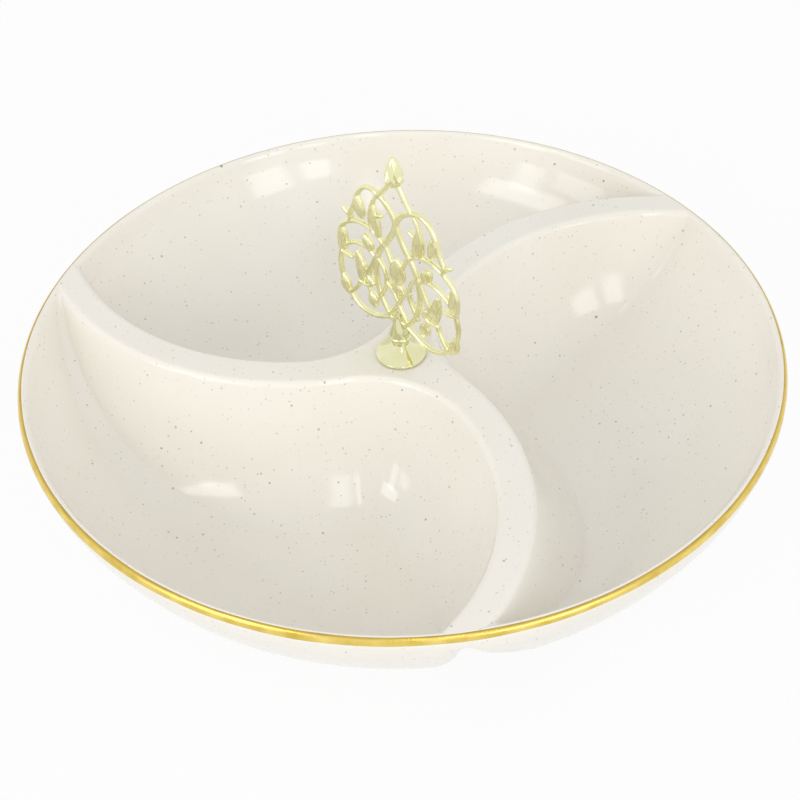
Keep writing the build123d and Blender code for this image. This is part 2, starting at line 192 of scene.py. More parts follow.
# Stems, the widest with a groove along the middle
STEM_WIDTHS = {"main": 2.2, "side": 1.8, "fine": 1.5}
STEM_GROOVES = {"main": 0.22, "side": 0.0, "fine": 0.0}
STEM_GROOVE_SHARE = 0.24
STEM_STEP = 0.4
STEM_SIDES = 20
STEM_END_TURNS = (15, 35, 55, 75)

# Relief of the small leaves
LEAF_ROWS = 36
LEAF_SIDES = 24
LEAF_END = 0.01
LEAF_EDGE = 0.12
LEAF_THIN = 0.45
LEAF_CROWN = 0.95
VEIN_RELIEF = 0.12
VEIN_COUNT = 2.6
VEIN_SLANT = 0.22
CREASE_DEPTH = 0.2
CREASE_WIDTH = 0.16

# Bud at the tip
BUD_BASE = 68.6
BUD_RADIUS = 3.5
BUD_ROOT = 2.1
BUD_WIDEST = 3.0
BUD_TAPER = 0.55
BUD_TRIM = 0.9
BUD_ROWS = 48
BUD_SIDES = 72
SEPAL_COUNT = 4
SEPAL_RELIEF = 0.16
SEPAL_REACH = 1.6
RIB_COUNT = 10
RIB_RELIEF = 0.06
RIB_TWIST = 1.1

# Stems of the right half: kind, then the points that they pass
HALF_STEMS = {
    "neck": ("side", 1.5 + 69.6j, 3.8 + 65.6j, 7.2 + 61j),
    "crossing": (
        "main", -7.2 + 61j, -3 + 58.2j, 53j, 4.6 + 43.6j, 9.4 + 35j, 12.6 + 28.4j, 12.8 + 23.4j,
    ),
    "inner_strand": ("side", 8.4 + 36.4j, 9.6 + 29j, 8.2 + 21.4j, 2 + 12.6j),
    "upper_lobe": ("side", 7.2 + 61j, 10.6 + 61.9j, 14.6 + 60j, 17.8 + 54j, 20.7 + 46.8j),
    "upper_curl": ("side", 20.7 + 46.8j, 22 + 47.2j, 23.2 + 48j),
    "upper_stalk": ("fine", 8 + 60.4j, 10.4 + 55.6j, 11.5 + 50j, 10.4 + 45.6j),
    "upper_nub": ("fine", 8.4 + 52.4j, 7.4 + 52.8j, 6.2 + 53.4j),
    "upper_floor": ("fine", 6 + 42.6j, 13 + 45.9j, 20.6 + 43.8j),
    "middle_link": ("side", 20.7 + 46.8j, 20.3 + 45.4j, 20.8 + 43.8j),
    "middle_lobe": ("side", 20.8 + 43.8j, 24 + 40.9j, 25.9 + 36j, 25.2 + 29.8j),
    "middle_curl": ("fine", 9.6 + 35.4j, 13.2 + 37j, 20.2 + 35.4j, 23.2 + 33j),
    "middle_nub": ("fine", 25.2 + 29.8j, 22.8 + 29.3j, 20.6 + 29.4j),
    "lower_lobe": ("side", 25.2 + 29.8j, 26.1 + 25.4j, 25 + 18.6j, 22 + 14j),
    "lower_edge": ("side", 22 + 14j, 18.4 + 10.9j, 12.6 + 9.9j, 7.2 + 11.7j, 2 + 14j),
    "tulip_stalk": ("fine", 22 + 14.2j, 19.4 + 16.8j, 17.2 + 21.4j),
    "tulip_base": ("fine", 10.8 + 23.6j, 13.6 + 21.4j, 17.2 + 21.4j),
    "pendant": ("fine", 13.6 + 21.4j, 12.8 + 20j, 12.3 + 18j),
    "inner_ring": ("fine", 8.6 + 35.4j, 5 + 29.2j, 6.2 + 23.4j, 8.4 + 19j),
    "palmette_arm": ("fine", 5 + 42.6j, 3.2 + 38.6j, 1.6 + 35.6j),
    "calyx": ("fine", 5.2 + 28j, 2.4 + 25.4j, 20.6j),
    "root": ("fine", 21j, 2 + 17.8j, 4.2 + 14.6j),
}

# Solid leaves of the right half: from, to, width, and how far the middle leans sideways
HALF_LEAVES = {
    "inner_leaf": (9.8 + 56.6j, 7.2 + 43.6j, 3.6, 0.8),
    "upper_leaf": (17 + 57j, 14.6 + 47.6j, 4.6, 0.6),
    "middle_leaf": (24.2 + 40.6j, 23.6 + 30.2j, 4.0, 0.6),
    "middle_bud": (11.4 + 36j, 14.4 + 42.4j, 4.2, 0.0),
    "tulip_outer": (16.8 + 21.6j, 18 + 33.8j, 3.6, 0.6),
    "tulip_inner": (15.4 + 21.8j, 15 + 30j, 3.0, -0.4),
    "tulip_cup": (11.2 + 22.4j, 13.8 + 26j, 2.6, 0.0),
    "pendant_leaf": (12.2 + 19.6j, 10.8 + 13.4j, 4.2, 0.0),
    "corner_leaf": (25 + 20.4j, 22.6 + 12.8j, 4.0, 0.4),
}

# Solid leaves on the middle line: from, to and width
MIDDLE_LEAVES = {
    "palmette": (28.4, 39.6, 6.8),
    "palmette_base": (24.6, 30.4, 5.0),
}

# Camera of the photograph
CAMERA_PLACE = (-0.990, -578.415, 553.133)
CAMERA_FORWARD = (0.0, 0.73886, -0.67386)
CAMERA_UP = (0.04232, 0.67326, 0.73820)
CAMERA_LENS = 106.1

# Colours, each from the darker to the lighter tone
GLAZE_TONES = ((0.86, 0.825, 0.745), (0.89, 0.86, 0.79))
GILDING_TONES = ((0.68, 0.48, 0.09), (0.90, 0.71, 0.21))
GILDING_EDGE = (0.34, 0.20, 0.03)
POLISHED_TONES = ((0.74, 0.72, 0.41), (0.82, 0.81, 0.52))
CAST_TONES = ((0.80, 0.77, 0.43), (0.90, 0.88, 0.56))
RUBBER_TONES = ((0.66, 0.66, 0.63), (0.74, 0.74, 0.71))
STEEL_TONES = ((0.55, 0.55, 0.56), (0.68, 0.68, 0.70))
FLOOR_TONES = ((0.80, 0.80, 0.80), (0.82, 0.82, 0.82))
SPECKLE_BROWN = (0.42, 0.36, 0.27)
SPECKLE_GREY = (0.16, 0.16, 0.14)

# Speckles in the glaze: cells per metre, share of cells with one, largest radius in cells,
# and how far the faintest and the strongest cover the glaze
GLAZE_SPECKLES = (
    (700.0, 0.8, 0.28, 0.10, 0.45),
    (360.0, 0.6, 0.20, 0.15, 0.65),
    (130.0, 0.25, 0.095, 0.4, 0.9),
)

# Studio light: how bright the surroundings are low down and overhead, and how much brighter in front
LOW_LIGHT = 1.04
HIGH_LIGHT = 0.72
FRONT_LIGHT = 0.10

# Floor: how far it reaches in millimetres, and how white it shows
FLOOR_REACH = 4000
FLOOR_GLOW = 0.93

# Lamps in metres: place, width, height and watts
LAMPS = {
    "right_near": ((0.58, -1.29, 0.50), 0.22, 0.40, 0.8),
    "right_far": ((0.90, -1.10, 0.46), 0.30, 0.55, 1.5),
    "left_near": ((-0.94, -1.01, 0.55), 0.20, 0.55, 0.9),
    "left_far": ((-1.28, -0.78, 0.45), 0.40, 0.40, 1.0),
    "front_strip": ((0.17, -1.21, 1.03), 0.16, 0.80, 1.2),
    "left_high": ((-0.84, -0.86, 0.82), 0.60, 0.28, 1.7),
}
LAMP_TARGET = (0.0, 0.0, 0.03)


# Shapes in the plane, with complex numbers as points


def polar(radius, angle):
    """Point at a radius and an angle in degrees."""
    return cmath.rect(radius, math.radians(angle))


def circles_meet(centre_a, radius_a, centre_b, radius_b, near):
    """The crossing of two circles that lies nearer to a given point."""
    step = centre_b - centre_a
    gap = abs(step)
    along = (radius_a**2 - radius_b**2 + gap**2) / (2 * gap)
    across = math.sqrt(radius_a**2 - along**2)
    foot = centre_a + step * (along / gap)
    side = step * 1j * (across / gap)
    return min((foot + side, foot - side), key=lambda point: abs(point - near))


def on_circle(centre, radius, toward):
    """Point of a circle in the direction of another point."""
    return centre + (toward - centre) / abs(toward - centre) * radius


def arc_points(centre, start, end, count):
    """Points of the shorter arc from start to end, without the end."""
    turn = cmath.phase((end - centre) / (start - centre))
    return [centre + (start - centre) * cmath.exp(1j * turn * step / count) for step in range(count)]


def soft_max(first, second):
    """The larger of two values, with a gradual change from one to the other."""
    return (first + second + math.hypot(first - second, CORNER_BLEND)) / 2


def well_loop(divider_inset, rim_inset, head_corner=END_CORNER):
    """Points of a well's outline: six arcs, each running smoothly into the next."""
    inner_centre = polar(INNER_ARC, SWIRL_ANGLE)
    outer_centre = polar(OUTER_ARC, SWIRL_ANGLE - 360 / WELL_COUNT)
    inner = INNER_ARC - HALF_CREST - divider_inset
    outer = OUTER_ARC + HALF_CREST + divider_inset
    rim = INNER_RIM - rim_inset
    hub_corner = soft_max(HUB_CORNER - divider_inset, FLOOR_CORNER)
    growth = CORNER_GROWTH * max(0.0, divider_inset + SHOULDER)
    head_corner += growth
    tail_corner = END_CORNER + growth

    hub = circles_meet(inner_centre, inner - hub_corner, outer_centre, outer + hub_corner, 0)
    head_near = polar(rim, SWIRL_ANGLE + 45)
    head = circles_meet(inner_centre, inner - head_corner, 0, rim - head_corner, head_near)
    tail_near = polar(rim, SWIRL_ANGLE - 75)
    tail = circles_meet(outer_centre, outer + tail_corner, 0, rim - tail_corner, tail_near)

    inner_start = on_circle(inner_centre, inner, hub)
    inner_end = on_circle(inner_centre, inner, head)
    rim_start = on_circle(0, rim, head)
    rim_end = on_circle(0, rim, tail)
    outer_start = on_circle(outer_centre, outer, tail)
    outer_end = on_circle(outer_centre, outer, hub)
    return (
        arc_points(inner_centre, inner_start, inner_end, INNER_POINTS)
        + arc_points(head, inner_end, rim_start, HEAD_POINTS)
        + arc_points(0, rim_start, rim_end, RIM_POINTS)
        + arc_points(tail, rim_end, outer_start, TAIL_POINTS)
        + arc_points(outer_centre, outer_start, outer_end, OUTER_POINTS)
        + arc_points(hub, outer_end, inner_start, HUB_POINTS)
    )


def wall_inset(share, draft, sweep):
    """How far a well's wall has moved in at a share of its depth."""
    return draft * WELL_DEPTH * share + sweep * (1 - math.sqrt(max(0.0, 1 - share**2)))


def sine(angle):
    """Sine of an angle in degrees."""
    return math.sin(math.radians(angle))


def cosine(angle):
    """Cosine of an angle in degrees."""
    return math.cos(math.radians(angle))


def smooth_step(share):
    """From 0 to 1, level at both ends."""
    share = min(1.0, max(0.0, share))
    return share * share * (3 - 2 * share)


def cavity_loops():
    """Loops of a well's inside with their heights, from the flat of the crest down to the floor."""
    loops = []
    for depth, step in CREST_EDGE_STEPS:
        share = depth / WELL_DEPTH
        divider = wall_inset(share, WALL_DRAFT, DIVIDER_SWEEP) - SHOULDER + step
        rim = wall_inset(share, RIM_DRAFT, RIM_SWEEP) - RIM_ROUND * EDGE_FLARE + RIM_EDGE_SHARE * step
        loops.append((well_loop(divider, rim), DECK - depth))
    for turn in CREST_TURNS:
        depth = ROUND_DEPTH * (EDGE_DROP - sine(turn))
        flare = 1 - cosine(turn)
        share = depth / WELL_DEPTH
        divider = wall_inset(share, WALL_DRAFT, DIVIDER_SWEEP) - CREST_ROUND * flare
        rim = wall_inset(share, RIM_DRAFT, RIM_SWEEP) - RIM_ROUND * flare
        loops.append((well_loop(divider, rim), DECK - depth))
    for turn in WALL_TURNS:
        share = sine(turn)
        divider = wall_inset(share, WALL_DRAFT, DIVIDER_SWEEP)
        rim = wall_inset(share, RIM_DRAFT, RIM_SWEEP)
        loops.append((well_loop(divider, rim), DECK - WELL_DEPTH * share))
    return loops


def outside_loops():
    """Loops of a well's outside with their heights, from the underside of the deck down to the base."""
    loops = []
    for turn in GROOVE_TURNS:
        depth = CREST_THICKNESS + GROOVE_FILLET * (1 - sine(turn))
        divider, rim = outside_insets(depth)
        divider -= GROOVE_FILLET * (1 - cosine(turn))
        loops.append((well_loop(divider, rim, OUTSIDE_HEAD), DECK - depth))
    for turn in OUTSIDE_TURNS:
        depth = BOWL_HEIGHT * sine(turn)
        divider, rim = outside_insets(depth)
        loops.append((well_loop(divider, rim, OUTSIDE_HEAD), DECK - depth))
    return loops


def outside_insets(depth):
    """How far the outside of a well has moved in at a depth, on its dividers and on its rim."""
    share = depth / BOWL_HEIGHT
    divider = wall_inset(share, WALL_DRAFT, DIVIDER_SWEEP) - CREST_WALL
    fade = smooth_step((depth - CREST_THICKNESS) / (RIM_SWELL_END - CREST_THICKNESS))
    rim = wall_inset(share, OUTSIDE_DRAFT, RIM_SWEEP) - RIM_WALL - RIM_SWELL * (1 - fade)
    return divider, rim


def lip_point(turn, lift):
    """Radius and height on the lip's outside, which is part of an ellipse, at a lift off it."""
    centre = complex(RIM_RADIUS - LIP_WIDTH, DECK - LIP_HEIGHT)
    outward = complex(cosine(turn) / LIP_WIDTH, sine(turn) / LIP_HEIGHT)
    point = centre + complex(LIP_WIDTH * cosine(turn), LIP_HEIGHT * sine(turn))
    return point + outward / abs(outward) * lift


# Mesh making


class MeshMaker:
    """Collects points in millimetres and faces, and turns them into an object in metres."""

    def __init__(self):
        self.points = []
        self.faces = []

    def loop(self, flat_points, height):
        """Adds a level loop of points and returns their numbers."""
        return self.ring((point.real, point.imag, height) for point in flat_points)

    def ring(self, points):
        """Adds points in space and returns their numbers."""
        first = len(self.points)
        self.points.extend(tuple(point) for point in points)
        return list(range(first, len(self.points)))

    def bridge(self, upper, lower):
        """Adds a band of quads between two loops with as many points each."""
        count = len(upper)
        for step in range(count):
            following = (step + 1) % count
            self.faces.append((upper[step], upper[following], lower[following], lower[step]))

    def skin(self, rings):
        """Joins rings one after another, and closes both ends."""
        for first, second in zip(rings, rings[1:]):
            self.bridge(first, second)
        self.faces.append(tuple(reversed(rings[0])))
        self.faces.append(tuple(rings[-1]))

    def block(self, *ends):
        """Adds a block between two level rectangles, each given as height, length and width."""
        rings = []
        for height, length, width in ends:
            rings.append(self.ring((a * length / 2, b * width / 2, height) for a, b in CORNERS))
        self.skin(rings)

    def fill(self, *loops):
        """Fills the flat space inside the first loop and outside the others."""
        outlines = [[Vector(self.points[number]) for number in loop] for loop in loops]
        numbers = [number for loop in loops for number in loop]
        for corners in tessellate_polygon(outlines):
            self.faces.append(tuple(numbers[corner] for corner in corners))

    def object(self, name):
        """The finished object, with its faces turned outwards and shaded smooth."""
        mesh = bpy.data.meshes.new(name)
        scaled = [(x * MM, y * MM, z * MM) for x, y, z in self.points]
        mesh.from_pydata(scaled, [], self.faces)
        shape = bmesh.new()
        shape.from_mesh(mesh)
        bmesh.ops.recalc_face_normals(shape, faces=shape.faces)
        for face in shape.faces:
            face.smooth = True
        shape.to_mesh(mesh)
        shape.free()
        made = bpy.data.objects.new(name, mesh)
        bpy.context.scene.collection.objects.link(made)
        return made


def mark_sharp(thing, angle):
    """Marks the edges whose faces meet at more than an angle in degrees as sharp."""
    shape = bmesh.new()
    shape.from_mesh(thing.data)
    for edge in shape.edges:
        if len(edge.link_faces) == 2 and edge.calc_face_angle() > math.radians(angle):
            edge.smooth = False
    shape.to_mesh(thing.data)
    shape.free()


def turned(name, profile):
    """A body of revolution about Z, from a closed outline of radius and height."""
    maker = MeshMaker()
    rings = []
    for radius, height in profile:
        circle = [polar(radius, 360 * step / TURNED_POINTS) for step in range(TURNED_POINTS)]
        rings.append(maker.loop(circle, height))
    for upper, lower in zip(rings, rings[1:] + rings[:1]):
        maker.bridge(upper, lower)
    return maker.object(name)


def replace_mesh(thing):
    """Applies an object's modifiers to its mesh."""
    graph = bpy.context.evaluated_depsgraph_get()
    done = bpy.data.meshes.new_from_object(thing.evaluated_get(graph))
    thing.modifiers.clear()
    thing.data = done
    return thing


# Bowl


def make_bowl():
    """The glazed shell: crests, three wells inside and out, rounded rim and grooves underneath."""
    maker = MeshMaker()
    inside = cavity_loops()
    outside = outside_loops()
    turns = [cmath.exp(-2j * math.pi * index / WELL_COUNT) for index in range(WELL_COUNT)]
    crest_edges = []
    groove_edges = []
    for turn in turns:
        for wall, edges in ((inside, crest_edges), (outside, groove_edges)):
            loops = [maker.loop([point * turn for point in loop], height) for loop, height in wall]
            for upper, lower in zip(loops, loops[1:]):
                maker.bridge(upper, lower)
            maker.fill(loops[-1])
            edges.append(loops[0])

    # The outer ring at the deck's underside shares its points with the wells
    ring = []
    underside = []
    for index in range(WELL_COUNT):
        own = groove_edges[index]
        following = groove_edges[(index + 1) % WELL_COUNT]
        start = maker.points[own[RIM_LAST]]
        end = maker.points[following[RIM_FIRST]]
        gap_start = complex(start[0], start[1])
        gap_end = complex(end[0], end[1])
        gap = maker.loop(arc_points(0, gap_start, gap_end, GAP_POINTS)[1:], DECK_UNDERSIDE)
        ring += own[RIM_FIRST:RIM_LAST + 1] + gap
        underside += gap
        underside += list(reversed(following[:RIM_FIRST + 1]))
        underside += list(reversed(following[RIM_LAST:]))
    hole = [polar(HOLE_RADIUS, 360 * step / HOLE_POINTS) for step in range(HOLE_POINTS)]
    hole_low = maker.loop(hole, DECK_UNDERSIDE)
    hole_high = maker.loop(hole, DECK)
    maker.bridge(hole_high, hole_low)
    maker.fill(underside, hole_low)

    # Rim: from that ring up and over the rounding to the flat of the deck
    directions = []
    for number in ring:
        x, y, _ = maker.points[number]
        directions.append(complex(x, y) / math.hypot(x, y))
    low_radius = INNER_RIM - outside_insets(CREST_THICKNESS)[1]
    start = lip_point(LIP_TURNS[0], 0)
    profile = [start + (complex(low_radius, DECK_UNDERSIDE) - start) * share for share in LIP_RUN]
    profile += [lip_point(turn, 0) for turn in LIP_TURNS]
    previous = ring
    for point in profile:
        current = maker.loop([point.real * way for way in directions], point.imag)
        maker.bridge(current, previous)
        previous = current
    maker.fill(previous, *crest_edges, hole_high)

    bowl = maker.object("glazed_bowl")
    mark_sharp(bowl, BOWL_SHARP)
    weighted = bowl.modifiers.new("level_shading", "WEIGHTED_NORMAL")
    weighted.keep_sharp = True
    return bowl


def waver(waves, angle):
    """A sum of waves at an angle round the rim."""
    return sum(size * math.sin(count * angle + start) for size, count, start in waves)


def make_gold_line():
    """The painted line on the outside of the lip, with edges that waver as a brush leaves them."""
    maker = MeshMaker()
    rows = []
    for step in range(LINE_POINTS):
        angle = 2 * math.pi * step / LINE_POINTS
        low = waver(GOLD_LOW_WAVES, angle) + GOLD_LOW
        high = waver(GOLD_HIGH_WAVES, angle) + GOLD_HIGH
        rows.append((cmath.exp(1j * angle), low, high))
    rings = []
    for share, lift in GOLD_BODY:
        points = []
        for way, low, high in rows:
            point = lip_point(low + (high - low) * share, lift)
            points.append((point.real * way.real, point.real * way.imag, point.imag))
        rings.append(maker.ring(points))
    for lower, upper in zip(rings, rings[1:] + rings[:1]):
        maker.bridge(upper, lower)
    return maker.object("gold_line")


# Foot and spire


def rounded(corner_radius, before, corner, after, count):
    """Points of a rounding at a corner between two straight runs."""
    first = complex(*before) - complex(*corner)
    second = complex(*after) - complex(*corner)
    first /= abs(first)
    second /= abs(second)
    half = abs(cmath.phase(second / first)) / 2
    reach = corner_radius / math.tan(half)
    middle = complex(*corner) + (first + second) / abs(first + second) * corner_radius / math.sin(half)
    start = complex(*corner) + first * reach
    end = complex(*corner) + second * reach
    points = arc_points(middle, start, end, count) + [end]
    return [(point.real, point.imag) for point in points]


def curve(start, control, end, count):
    """Points of a quadratic curve, without its ends."""
    points = []
    for step in range(1, count):
        share = step / count
        weights = ((1 - share)**2, 2 * share * (1 - share), share**2)
        points.append(tuple(
            sum(weight * value for weight, value in zip(weights, values))
            for values in zip(start, control, end)
        ))
    return points


def make_foot():
    """The flared foot, hollow underneath over its seal."""
    shoulder = (FOOT_RADIUS - FLARE_INSET, FOOT_BOTTOM + FOOT_EDGE)
    neck = (NECK_RADIUS + NECK_FILLET, FOOT_TOP)
    control = ((shoulder[0] + neck[0]) / 2 - FOOT_HOLLOW, (shoulder[1] + neck[1]) / 2 - FOOT_HOLLOW)
    inside = (SEAL_RECESS, FOOT_BOTTOM)
    bottom = (FOOT_RADIUS, FOOT_BOTTOM)
    top = (FOOT_RADIUS, FOOT_BOTTOM + FOOT_EDGE)
    flare = (FOOT_RADIUS - FLARE_RUN, FOOT_BOTTOM + FOOT_EDGE + FLARE_RISE)
    profile = [
        (FOOT_BORE, FOOT_TOP),
        (FOOT_BORE, SEAL_TOP),
        (SEAL_RECESS - RECESS_BEVEL, SEAL_TOP),
        (SEAL_RECESS, SEAL_TOP - RECESS_BEVEL),
        *rounded(RECESS_ROUND, (SEAL_RECESS, SEAL_TOP), inside, bottom, 3),
        *rounded(BRIM_LOW_ROUND, inside, bottom, top, 5),
        *rounded(BRIM_HIGH_ROUND, bottom, top, flare, 5),
        *curve(shoulder, control, neck, 16),
        neck,
        (NECK_RADIUS, FOOT_TOP),
    ]
    foot = turned("bell_foot", profile)
    mark_sharp(foot, FOOT_SHARP)
    return foot


def make_spire():
    """Neck, collar and spire, with the slot that takes the leaf's tang."""
    neck_foot = (NECK_RADIUS, FOOT_TOP + FOOT_GAP)
    neck_waist = (NECK_RADIUS - NECK_WAIST, COLLAR_BOTTOM - WAIST_DROP)
    neck_head = (NECK_RADIUS, COLLAR_BOTTOM)
    profile = [
        (0.01, SCREW_END + 0.2),
        (BORE_RADIUS, SCREW_END),
        (BORE_RADIUS, FOOT_TOP + FOOT_GAP),
        neck_foot,
        *curve(neck_foot, neck_waist, neck_head, 8),
        neck_head,
    ]
    bead = (COLLAR_TOP - COLLAR_BOTTOM) / 2
    bead_middle = complex(COLLAR_RADIUS - bead, COLLAR_BOTTOM + bead)
    for turn in range(-90, 91, 12):
        point = bead_middle + polar(bead, turn)
        profile.append((point.real, point.imag))
    start = (SPIRE_RADIUS, COLLAR_TOP + 0.05)
    end = (SPIRE_TIP * 0.92, SPIRE_TOP - SPIRE_TIP * 0.75)
    control = ((start[0] + end[0]) / 2 + SPIRE_BULGE, (start[1] + end[1]) / 2 + 0.4)
    profile += [(SPIRE_RADIUS - 0.25, COLLAR_TOP), start]
    profile += curve(start, control, end, 20)
    for turn in (20, 35, 50, 65, 80, 89):
        profile.append((SPIRE_TIP * cosine(turn), SPIRE_TOP - SPIRE_TIP * (1 - sine(turn))))
    spire = turned("slotted_spire", profile)
    return cut_slot(spire)


def cut_slot(spire):
    """Saws the slot for the leaf's tang into the spire, from the top."""
    maker = MeshMaker()
    length = 4 * COLLAR_RADIUS
    maker.block((SLOT_FLOOR, length, SLOT_WIDTH), (SPIRE_TOP + 2, length, SLOT_WIDTH))
    saw = maker.object("saw")
    saw.data.transform(Matrix.Rotation(math.radians(LEAF_TURN), 4, "Z"))
    cut = spire.modifiers.new("slot", "BOOLEAN")
    cut.operation = "DIFFERENCE"
    cut.solver = "EXACT"
    cut.object = saw
    replace_mesh(spire)
    bpy.data.objects.remove(saw)
    mark_sharp(spire, SPIRE_SHARP)
    return spire


# Openwork leaf


def circle_centre(first, second, third):
    """Centre of the circle through three points."""
    a = second - first
    b = third - first
    cross = a.real * b.imag - a.imag * b.real
    x = (b.imag * abs(a)**2 - a.imag * abs(b)**2) / (2 * cross)
    y = (a.real * abs(b)**2 - b.real * abs(a)**2) / (2 * cross)
    return first + complex(x, y)


def stem_path(points, spacing):
    """Places and directions along a stem: arcs through its points, each running on from the one before."""
    centre = circle_centre(*points[:3])
    way = (points[0] - centre) * 1j
    if ((points[1] - points[0]) * way.conjugate()).real < 0:
        way = -way
    way /= abs(way)
    place = points[0]
    path = [(place, way)]
    for target in points[2:]:
        chord = target - place
        half_turn = cmath.phase(chord / way)
        radius = abs(chord) / (2 * math.sin(half_turn))
        count = max(3, math.ceil(abs(2 * half_turn * radius) / spacing))
        for step in range(1, count + 1):
            turn = 2 * half_turn * step / count
            moved = way * radius * complex(math.sin(turn), 1 - math.cos(turn))
            path.append((place + moved, way * cmath.exp(1j * turn)))
        place = target
        way = path[-1][1]
    return path


def add_stem(maker, points, width, groove, side):
    """A cast stem with round ends; side is 1 for the right half of the leaf and -1 for the left."""
    path = stem_path(points, STEM_STEP)
    stations = []
    for turn in reversed(STEM_END_TURNS):
        place, way = path[0]
        stations.append((place - way * width / 2 * sine(turn), way, cosine(turn)))
    stations += [(place, way, 1.0) for place, way in path]
    for turn in STEM_END_TURNS:
        place, way = path[-1]
        stations.append((place + way * width / 2 * sine(turn), way, cosine(turn)))
    rings = []
    for place, way, scale in stations:
        ring = []
        for step in range(STEM_SIDES):
            turn = 2 * math.pi * step / STEM_SIDES
            across = width / 2 * math.cos(turn) * scale
            height = LEAF_THICKNESS / 2 * math.sin(turn) * scale
            hollow = groove * math.exp(-(across / (STEM_GROOVE_SHARE * width))**2)
            height -= math.copysign(min(abs(height), hollow), height)
            point = place + way * 1j * across
            ring.append((side * point.real, height, point.imag))
        rings.append(maker.ring(ring))
    maker.skin(rings)


def add_leaf(maker, start, end, width, lean, side):
    """A small veined leaf: pointed at both ends, thick along its middle."""
    length = abs(end - start)
    way = (end - start) / length
    rings = []
    for row in range(LEAF_ROWS + 1):
        share = LEAF_END + (1 - 2 * LEAF_END) * row / LEAF_ROWS
        bow = 4 * share * (1 - share)
        half = width / 2 * bow**0.8 + LEAF_EDGE
        middle = start + way * length * share + way * 1j * lean * bow
        ring = []
        for column in range(LEAF_SIDES):
            turn = 2 * math.pi * column / LEAF_SIDES
            across = math.cos(turn)
            crown = math.sin(turn)
            thick = LEAF_THIN + LEAF_CROWN * bow**0.6
            phase = VEIN_COUNT * abs(across) + VEIN_SLANT * share * length
            vein = VEIN_RELIEF * math.cos(2 * math.pi * phase)
            crease = CREASE_DEPTH * math.exp(-(across / CREASE_WIDTH)**2)
            height = abs(crown)**0.8 * (thick + (vein - crease) * bow)
            point = middle + way * 1j * half * across
            ring.append((side * point.real, math.copysign(height, crown), point.imag))
        rings.append(maker.ring(ring))
    maker.skin(rings)


def add_bud(maker):
    """The bud on the tip: swelling sepals below and a ribbed point above."""
    total = LEAF_TIP - BUD_BASE
    rings = []
    for row in range(BUD_ROWS + 1):
        height = total * row / BUD_ROWS
        if height < BUD_WIDEST:
            share = height / BUD_WIDEST
            radius = BUD_ROOT + (BUD_RADIUS - BUD_ROOT) * math.sin(share * math.pi / 2)
        else:
            share = (height - BUD_WIDEST) / (total - BUD_WIDEST)
            radius = BUD_RADIUS * (1 - share)**BUD_TAPER
        sepal = math.exp(-((height - BUD_WIDEST) / SEPAL_REACH)**2)
        ring = []
        for column in range(BUD_SIDES):
            turn = 2 * math.pi * column / BUD_SIDES
            lobes = 1 + SEPAL_RELIEF * sepal * math.cos(SEPAL_COUNT * turn)
            ribs = 1 + RIB_RELIEF * math.cos(RIB_COUNT * turn + RIB_TWIST * height)
            local = max(BUD_TRIM * radius * lobes * ribs, 0.05)
            ring.append((local * math.cos(turn), local * math.sin(turn), BUD_BASE + height))
        rings.append(maker.ring(ring))
    maker.skin(rings)


def add_tang(maker):
    """The flat tongue that sits in the spire's slot."""
    foot = (DRAWN_TANG, TANG_WIDTH, LEAF_THICKNESS)
    head = (DRAWN_TANG + TANG_HEIGHT, TANG_HEAD, LEAF_THICKNESS)
    maker.block(foot, head)


def make_leaf():
    """The whole casting, melted together into one skin."""
    maker = MeshMaker()
    for kind, *points in HALF_STEMS.values():
        for side in (1, -1):
            add_stem(maker, points, STEM_WIDTHS[kind], STEM_GROOVES[kind], side)
    for start, end, width, lean in HALF_LEAVES.values():
        for side in (1, -1):
            add_leaf(maker, start, end, width, lean, side)
    for low, high, width in MIDDLE_LEAVES.values():
        add_leaf(maker, 1j * low, 1j * high, width, 0, 1)
    add_bud(maker)
    add_tang(maker)
    leaf = maker.object("filigree_leaf")
    place = Matrix.Translation((0, 0, (LEAF_BASE - DRAWN_TANG) * MM))
    leaf.data.transform(place @ Matrix.Rotation(math.radians(LEAF_TURN), 4, "Z"))
    melt = leaf.modifiers.new("melt", "REMESH")
    melt.mode = "VOXEL"
    melt.voxel_size = LEAF_VOXEL * MM
    melt.use_smooth_shade = True
    soften = leaf.modifiers.new("soften", "SMOOTH")
    soften.factor = 0.5
    soften.iterations = 3
    thin = leaf.modifiers.new("thin", "DECIMATE")
    thin.ratio = LEAF_FACES_KEPT
    return replace_mesh(leaf)


# Materials


def new_material(name):
    """A node material with a Principled shader, and the means to add nodes to it."""
    material = bpy.data.materials.new(name)
    material.use_nodes = True
    nodes = material.node_tree.nodes
    links = material.node_tree.links
    shader = nodes["Principled BSDF"]
    return material, nodes, links, shader


def object_place(nodes):
    """Coordinates that stay on the object as it moves."""
    return nodes.new("ShaderNodeTexCoord").outputs["Object"]


def noise(nodes, links, place, scale, detail=3.0):
    """Soft cloudy values between 0 and 1."""
    node = nodes.new("ShaderNodeTexNoise")
    node.inputs["Scale"].default_value = scale
    node.inputs["Detail"].default_value = detail
    links.new(place, node.inputs["Vector"])
    return node.outputs["Fac"]


def ramp(nodes, links, value, low, high, from_value=0.0, to_value=1.0):
    """A value spread from one range to another, and held at its ends."""
    node = nodes.new("ShaderNodeMapRange")
    node.inputs["From Min"].default_value = low
    node.inputs["From Max"].default_value = high
    node.inputs["To Min"].default_value = from_value
    node.inputs["To Max"].default_value = to_value
    links.new(value, node.inputs["Value"])
    return node.outputs["Result"]


def spread(nodes, links, clouds, from_value=0.0, to_value=1.0):
    """Noise gathers round 0.5, so its middle is spread over the range that is asked for."""
    return ramp(nodes, links, clouds, 0.3, 0.7, from_value, to_value)


